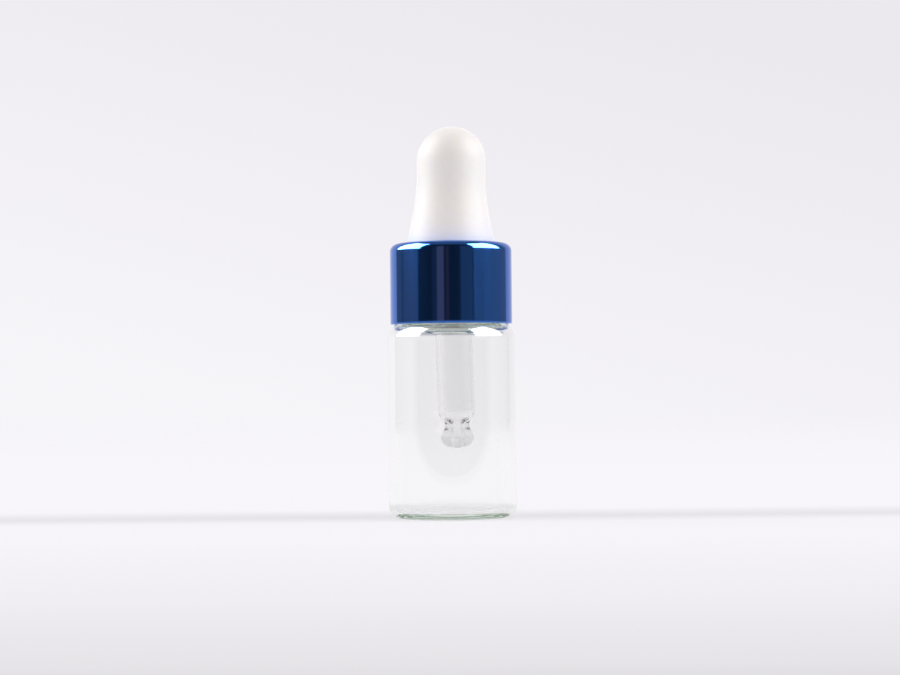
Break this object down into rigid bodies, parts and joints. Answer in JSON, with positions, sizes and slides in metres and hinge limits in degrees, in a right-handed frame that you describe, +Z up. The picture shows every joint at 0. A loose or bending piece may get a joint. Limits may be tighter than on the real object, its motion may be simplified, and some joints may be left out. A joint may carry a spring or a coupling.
{
  "type": "dropper bottle",
  "caption": "Small clear glass dropper bottle: a round vial, a smooth metal screw collar, a hollow rubber bulb and a glass pipette with a beaded tip.",
  "frame": {"origin": "centre of the vial's foot, on the surface that it stands on", "axes": "+Z up along the vial's axis, from the foot to the bulb; -Y is the side that the picture shows; the pipette's tip leans towards +X"},
  "size_m": [0.016, 0.016, 0.0491],
  "materials": {
    "clear_glass": "fire-polished, clear with a faint green edge",
    "cap_plastic": "as moulded, off-white",
    "blue_anodised_aluminium": "bright anodised, mirror-like",
    "white_rubber": "smooth, soft sheen"
  },
  "bodies": {
    "vial": {"glass_vial": "clear_glass"},
    "dropper": {"glass_pipette": "clear_glass"},
    "closure": {"inner_cap": "cap_plastic", "cap_shell": "blue_anodised_aluminium"},
    "bulb": {"rubber_bulb": "white_rubber"}
  },
  "joints": [
    {"name": "dropper_lift", "type": "slide", "parent": "vial", "child": "dropper", "axis": [0, 0, 1], "range_m": [0, 0.03]},
    {"name": "collar_turn", "type": "hinge", "parent": "dropper", "child": "closure", "pos_m": [0, 0, 0.0292], "axis": [0, 0, 1], "range_deg": [0, 720]},
    {"name": "bulb_press", "type": "slide", "parent": "dropper", "child": "bulb", "axis": [0, 0, -1], "range_m": [0, 0.0045], "stiffness_N_per_m": 1200, "deforming": ["rubber_bulb"]}
  ]
}
